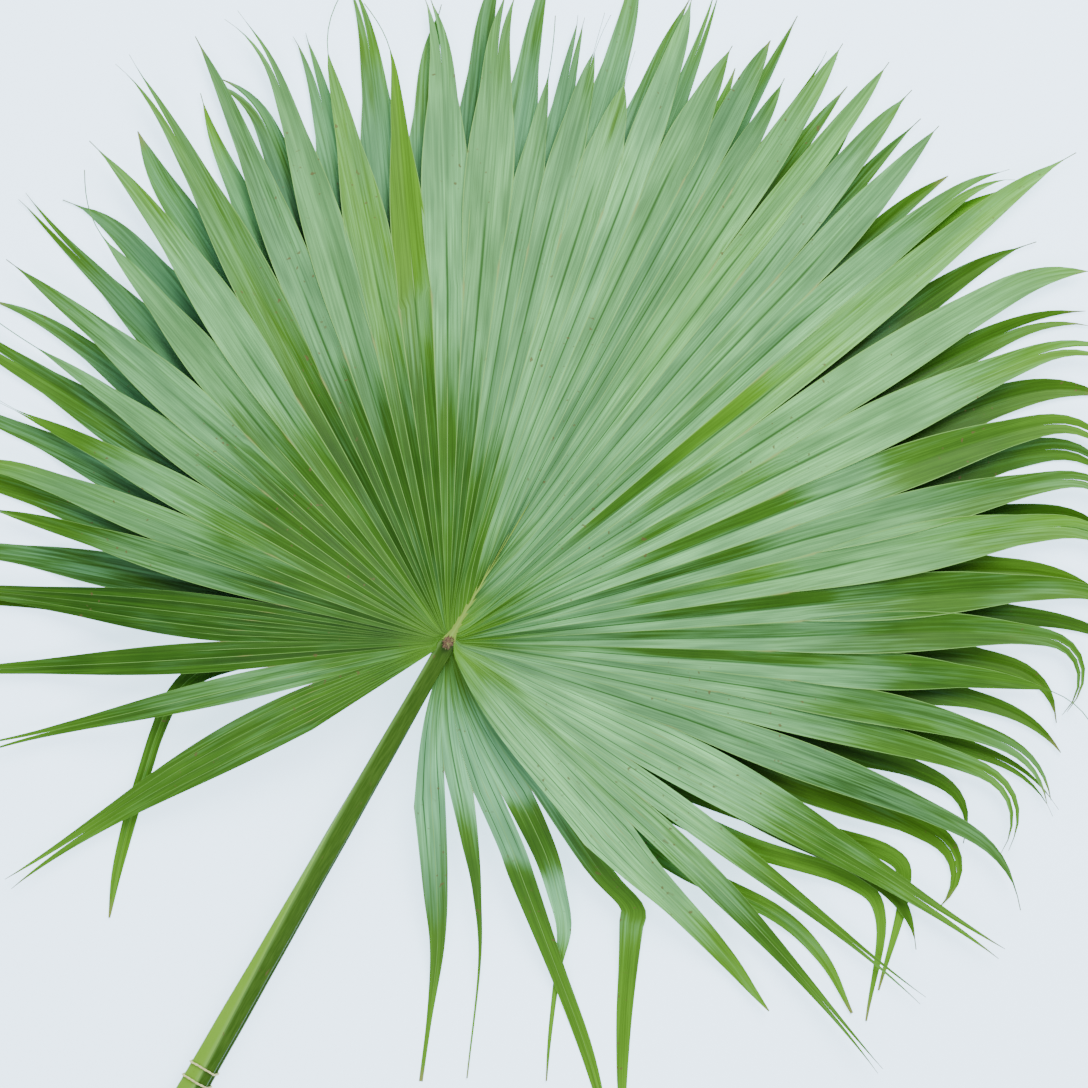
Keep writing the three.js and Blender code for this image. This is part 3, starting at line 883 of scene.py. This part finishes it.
class Nodes:
    """Short calls for building a material."""

    def __init__(self, name):
        self.material = bpy.data.materials.new(name)
        self.material.use_nodes = True
        self.tree = self.material.node_tree
        self.shader = self.tree.nodes["Principled BSDF"]

    def put(self, socket, value):
        if isinstance(value, bpy.types.NodeSocket):
            self.tree.links.new(value, socket)
        elif value is not None:
            socket.default_value = value

    def attribute(self, name):
        node = self.tree.nodes.new("ShaderNodeAttribute")
        node.attribute_name = name
        return node.outputs

    def split(self, vector):
        node = self.tree.nodes.new("ShaderNodeSeparateXYZ")
        self.put(node.inputs[0], vector)
        return node.outputs

    def math(self, operation, first, second=None, third=None):
        node = self.tree.nodes.new("ShaderNodeMath")
        node.operation = operation
        for socket, value in zip(node.inputs, (first, second, third)):
            self.put(socket, value)
        return node.outputs[0]

    def mix(self, share, first, second):
        node = self.tree.nodes.new("ShaderNodeMix")
        node.data_type = "RGBA"
        self.put(node.inputs[0], share)
        self.put(node.inputs[6], first)
        self.put(node.inputs[7], second)
        return node.outputs[2]

    def ramp(self, value, low, high, start=0.0, end=1.0):
        """value mapped smoothly from low..high to start..end."""
        node = self.tree.nodes.new("ShaderNodeMapRange")
        node.interpolation_type = "SMOOTHSTEP"
        for socket, number in zip(node.inputs, (value, low, high, start, end)):
            self.put(socket, number)
        return node.outputs[0]

    def scaled(self, colour, factor):
        node = self.tree.nodes.new("ShaderNodeVectorMath")
        node.operation = "SCALE"
        self.put(node.inputs[0], colour)
        self.put(node.inputs["Scale"], factor)
        return node.outputs[0]

    def stretched(self, vector, scale):
        node = self.tree.nodes.new("ShaderNodeVectorMath")
        node.operation = "MULTIPLY"
        self.put(node.inputs[0], vector)
        node.inputs[1].default_value = scale
        return node.outputs[0]

    def noise(self, vector, scale=1.0, detail=2.0):
        node = self.tree.nodes.new("ShaderNodeTexNoise")
        self.put(node.inputs["Vector"], vector)
        node.inputs["Scale"].default_value = scale
        node.inputs["Detail"].default_value = detail
        return node.outputs["Fac"]

    def place(self):
        return self.tree.nodes.new("ShaderNodeTexCoord").outputs["Object"]

    def bump(self, height, strength, distance):
        node = self.tree.nodes.new("ShaderNodeBump")
        node.inputs["Strength"].default_value = strength
        node.inputs["Distance"].default_value = distance
        self.put(node.inputs["Height"], height)
        self.put(self.shader.inputs["Normal"], node.outputs[0])

    def surface(self, colour, roughness, shine=0.5):
        self.put(self.shader.inputs["Base Color"], colour)
        self.put(self.shader.inputs["Roughness"], roughness)
        self.put(self.shader.inputs["Specular IOR Level"], shine)


def skin_colour(n, bloom, warmth, shade, pale):
    """Colour of a blade's skin, bare green or pale with wax and painted sheen; how much pale skin it
    has; and its relief.
    """
    fibre = n.attribute("fibre")["Vector"]
    streaks = n.noise(n.stretched(fibre, (0.45, 0.012, 1.0)), 1.0, 3.0)
    patches = n.noise(n.stretched(fibre, (0.06, 0.011, 1.0)), 1.0, 2.0)
    veins = n.noise(n.stretched(fibre, (1.7, 0.006, 1.0)), 1.0, 3.0)
    mottle = n.noise(n.place(), 26.0, 3.0)

    # Painted sheen: the pale skin stands partly for real wax and partly for the sky's sheen on it.
    level = n.math("ADD", bloom, n.math("MULTIPLY_ADD", streaks, 0.8, -0.4))
    level = n.math("ADD", level, n.math("MULTIPLY_ADD", patches, 1.1, -0.55))
    waxy_and_sheen = n.ramp(level, 0.1, 0.85)
    lightness = n.math("ADD", n.math("MULTIPLY", shade, 0.45), n.math("MULTIPLY", mottle, 0.6))
    bare = n.mix(lightness, DEEP_GREEN, MID_GREEN)
    bare = n.mix(n.math("MULTIPLY", warmth, 0.75), bare, LIME_GREEN)
    bright, dull = ([value * share for value in pale[:3]] + [1] for share in (1.2, 0.7))
    wax_and_sheen_colour = n.mix(n.ramp(patches, 0.3, 0.7), bright, dull)
    wax_and_sheen_colour = n.mix(n.math("MULTIPLY", warmth, 0.35), wax_and_sheen_colour, LIME_GREEN)
    colour = n.mix(n.math("MULTIPLY", waxy_and_sheen, 0.94), bare, wax_and_sheen_colour)

    tint = n.ramp(veins, 0.3, 0.7, 0.8, 1.14)
    tint = n.math("MULTIPLY", tint, n.ramp(streaks, 0.35, 0.65, 0.86, 1.12))
    tint = n.math("MULTIPLY", tint, n.math("MULTIPLY_ADD", shade, 0.35, 0.8))
    relief = n.math("ADD", veins, n.math("MULTIPLY", streaks, 0.6))
    return n.scaled(colour, tint), waxy_and_sheen, relief


def with_lines(n, colour, rib, ridge, waxy_and_sheen):
    """The colour with pale ridges, and with ribs that are pale in bare skin and drawn dark in pale
    skin with wax, as painted shade in the creases.
    """
    # Painted shade: the ribs lie low in the creases, so they are darkened towards deep green, the more
    # where the skin is pale.
    painted_crease_shade = n.math("MULTIPLY", rib, n.math("MULTIPLY_ADD", waxy_and_sheen, 0.6, 0.4))
    colour = n.mix(n.ramp(painted_crease_shade, 0.05, 0.8, 0.0, 0.85), colour, DEEP_GREEN)
    raised = n.math("MAXIMUM", ridge, n.math("MULTIPLY", rib, n.math("SUBTRACT", 1.0, waxy_and_sheen)))
    return n.mix(n.ramp(raised, 0.55, 0.9, 0.0, 0.75), colour, RIB_COLOUR)


def with_wear(n, colour, dry):
    """The colour with small brown scars, and with the dry brown of tips and splits."""
    spots = n.noise(n.place(), 160.0, 1.0)
    sparse = n.noise(n.place(), 11.0, 2.0)
    scars = n.math("MULTIPLY", n.ramp(spots, 0.70, 0.76), n.ramp(sparse, 0.52, 0.62))
    colour = n.mix(n.math("MULTIPLY", scars, 0.75), colour, SCAR_COLOUR)
    return n.mix(n.math("MULTIPLY", dry, 0.75), colour, DRY_COLOUR)


def blade_material(name, pale):
    """Palm blade: parallel veins, bare green or pale skin with wax and painted sheen, ribs and ridges
    (ribs drawn darker as painted crease shade where the skin is pale), scars, dull back.
    """
    n = Nodes(name)
    bloom, warmth, shade = n.split(n.attribute("tone")["Vector"])
    rib, ridge, dry = n.split(n.attribute("line")["Vector"])
    colour, waxy_and_sheen, relief = skin_colour(n, bloom, warmth, shade, pale)
    colour = with_lines(n, colour, rib, ridge, waxy_and_sheen)
    colour = with_wear(n, colour, dry)
    under = n.attribute("under")["Fac"]
    colour = n.mix(n.math("MULTIPLY", under, 0.35), colour, UNDERSIDE_COLOUR)
    n.surface(colour, n.math("MULTIPLY_ADD", waxy_and_sheen, 0.14, 0.46), shine=0.08)
    n.bump(relief, 0.35, 0.0004)
    return n.material


def stalk_material():
    """Smooth green stalk: a left face painted lighter as the lit side and a right face painted darker
    as the shaded side, a pale ridge, long fibres and a few brown scars.
    """
    n = Nodes("petiole")
    left, ridge, to_cut = n.split(n.attribute("line")["Vector"])
    fibres = n.noise(n.stretched(n.place(), (900.0, 9.0, 900.0)), 1.0, 2.0)
    mottle = n.noise(n.stretched(n.place(), (60.0, 8.0, 60.0)), 1.0, 3.0)
    right_colour = n.mix(mottle, *STALK_RIGHT_PAINTED_SHADE_COLOURS)
    left_colour = n.mix(mottle, *STALK_LEFT_PAINTED_LIGHT_COLOURS)
    # Painted light: away from the hub, the left face is drawn lighter as the lit side, the right face
    # darker as the shaded side.
    lit = n.math("MULTIPLY", n.ramp(left, 0.3, 0.7), n.ramp(to_cut, 0.22, 0.4))
    colour = n.mix(lit, right_colour, left_colour)
    colour = n.mix(n.ramp(ridge, 0.2, 0.9, 0.0, 0.35), colour, RIB_COLOUR)
    colour = n.mix(n.ramp(fibres, 0.35, 0.7, 0.0, 0.12), colour, STALK_FIBRE_COLOUR)
    colour = n.mix(n.ramp(to_cut, 0.0, 0.002, 0.55, 0.0), colour, COSTA_COLOUR)
    scars = n.ramp(n.noise(n.stretched(n.place(), (230.0, 70.0, 230.0)), 1.0, 1.0), 0.72, 0.8)
    colour = n.mix(n.math("MULTIPLY", scars, 0.6), colour, SCAR_COLOUR)
    n.surface(colour, n.math("MULTIPLY_ADD", mottle, 0.2, 0.38), shine=0.12)
    n.bump(fibres, 0.3, 0.0003)
    return n.material


def crest_material():
    """Dry, scaly brown tissue with greener patches."""
    n = Nodes("hastula")
    grain = n.noise(n.place(), 900.0, 4.0)
    patches = n.noise(n.place(), 260.0, 2.0)
    colour = n.mix(n.ramp(grain, 0.3, 0.7), *CREST_COLOURS)
    colour = n.mix(n.ramp(patches, 0.5, 0.7, 0.0, 0.6), colour, CREST_GREEN)
    n.surface(colour, 0.85)
    n.bump(grain, 0.7, 0.0008)
    return n.material


def string_material():
    """Pale twisted plant-fibre string with darker stains."""
    n = Nodes("string")
    fuzz = n.noise(n.place(), 1500.0, 3.0)
    tint = n.noise(n.place(), 120.0, 2.0)
    colour = n.mix(fuzz, *STRING_COLOURS)
    colour = n.mix(n.ramp(tint, 0.45, 0.7, 0.0, 0.4), colour, STRING_STAIN_COLOUR)
    n.surface(colour, 0.8)
    n.bump(fuzz, 0.6, 0.0003)
    return n.material


def floor_material():
    """Plain pale floor."""
    n = Nodes("floor")
    n.surface(FLOOR_COLOUR, 0.7)
    n.put(n.shader.inputs["Emission Color"], FLOOR_GLOW)
    n.put(n.shader.inputs["Emission Strength"], 2.5)
    return n.material


# ------------------------ the pieces
def add_piece(name, mesh, material):
    """A piece that stands for the CAD node of the same name."""
    piece = bpy.data.objects.new(name + "_fine", mesh)
    bpy.context.scene.collection.objects.link(piece)
    mesh.materials.append(material)
    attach(piece, "root")
    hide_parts(name)


def add_leaves():
    front_skin = blade_material("front_blade", WAXY_AND_SHEEN_GREEN)
    back_skin = blade_material("back_blade", BLUISH_WAX_AND_SHEEN_GREEN)
    stalk_skin = stalk_material()
    crest_skin = crest_material()
    front = front_sheet().mesh("front_blade_fine", SHEET_THICKNESS)
    back = back_sheet().mesh("back_blade_fine", SHEET_THICKNESS)
    add_piece("front_blade", front, front_skin)
    add_piece("back_blade", back, back_skin)
    for level, side in enumerate(("back", "front")):
        add_piece(f"{side}_petiole", stalk_mesh(f"{side}_petiole", level), stalk_skin)
        add_piece(f"{side}_hastula", crest_mesh(f"{side}_hastula", level), crest_skin)


def add_ties():
    skin = string_material()
    for name, bow in (("tie_1", -1.6), ("tie_2", -0.8)):
        low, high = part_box(name)
        y = ((low.y + high.y) / 2 - HUB.y) / MM
        add_piece(name, tie_mesh(name, y, bow), skin)


# ------------------------ floor, light and camera
CAMERA_DISTANCE = 3.2
VIEW_WIDTH = 1.088  # what the picture shows of the plane at LEAF_PLANE
LEAF_PLANE = 0.04
VIEW_OFFSET = (0.0338, 0.1315)  # from the hub to the middle of the picture
VIEW_TURN = math.radians(30)
VIEW_CENTRE = Vector((HUB.x + VIEW_OFFSET[0], HUB.y + VIEW_OFFSET[1], LEAF_PLANE))
FLOOR_HALF = 6.0
SENSOR_WIDTH = 36


def add_floor():
    mesh = bpy.data.meshes.new("floor")
    corners = [(x * FLOOR_HALF, y * FLOOR_HALF, 0) for x, y in [(-1, -1), (1, -1), (1, 1), (-1, 1)]]
    mesh.from_pydata(corners, [], [(0, 1, 2, 3)])
    mesh.materials.append(floor_material())
    floor = bpy.data.objects.new("floor", mesh)
    bpy.context.scene.collection.objects.link(floor)


def add_area_light(name, place, size, power, colour=(1, 1, 1)):
    """A soft square light that faces the middle of the picture."""
    data = bpy.data.lights.new(name, "AREA")
    data.size = size
    data.energy = power
    data.color = colour
    light = bpy.data.objects.new(name, data)
    light.location = Vector(place)
    aim = VIEW_CENTRE - light.location
    light.rotation_euler = aim.to_track_quat("-Z", "Y").to_euler()
    bpy.context.scene.collection.objects.link(light)


def add_lights():
    world = bpy.data.worlds.new("studio")
    world.use_nodes = True
    background = world.node_tree.nodes["Background"]
    background.inputs["Color"].default_value = (0.9, 0.95, 1.0, 1)
    background.inputs["Strength"].default_value = 0.75
    bpy.context.scene.world = world
    add_area_light("window", place=(-0.3, 2.7, 3.0), size=2.4, power=290, colour=(1.0, 0.99, 0.96))
    add_area_light("fill", place=(0.5, -2.4, 2.8), size=2.0, power=80)


def add_camera():
    """Looks straight down, turned so that the stalk points to the picture's lower left."""
    data = bpy.data.cameras.new("camera")
    data.sensor_width = SENSOR_WIDTH
    data.lens = SENSOR_WIDTH * CAMERA_DISTANCE / VIEW_WIDTH
    camera = bpy.data.objects.new("camera", data)
    camera.location = VIEW_CENTRE + Vector((0, 0, CAMERA_DISTANCE))
    camera.rotation_euler = (0, 0, VIEW_TURN)
    bpy.context.scene.collection.objects.link(camera)
    bpy.context.scene.camera = camera


add_leaves()
add_ties()
add_floor()
add_lights()
add_camera()
